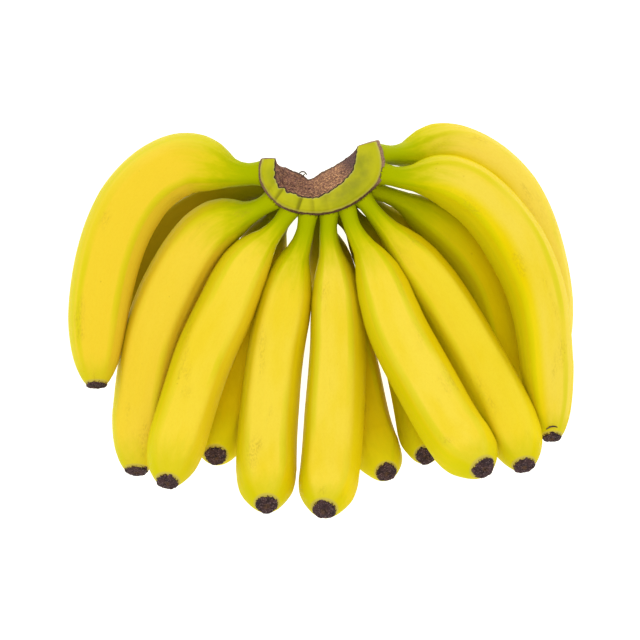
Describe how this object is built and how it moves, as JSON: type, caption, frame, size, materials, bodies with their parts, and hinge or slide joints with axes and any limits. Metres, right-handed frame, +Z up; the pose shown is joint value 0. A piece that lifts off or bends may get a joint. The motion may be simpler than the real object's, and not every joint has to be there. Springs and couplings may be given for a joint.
{
  "type": "hand of bananas",
  "caption": "Hand of ripe yellow bananas lying on its rounded back, curved fingers spreading from one cut crown, for still lifes, kitchens and market stalls",
  "frame": {"origin": "middle of the bounding box in plan, on the table that the hand lies on", "axes": "+Z up, away from the table; +X across the hand, its longest extent; +Y from the fingertips towards the crown"},
  "size_m": [0.3152, 0.244, 0.1117],
  "materials": {
    "peel": "smooth waxy ripe peel, yellow turning green at the neck and the tip",
    "crown_skin": "smooth olive-green cushion with a dry mottled brown cut face"
  },
  "bodies": {
    "root": {"crown": "crown_skin", "banana_01": "peel", "banana_02": "peel", "banana_03": "peel", "banana_04": "peel", "banana_05": "peel", "banana_06": "peel", "banana_07": "peel", "banana_08": "peel", "banana_09": "peel", "banana_10": "peel", "banana_11": "peel", "banana_12": "peel", "banana_13": "peel", "banana_14": "peel", "banana_15": "peel"}
  },
  "joints": []
}
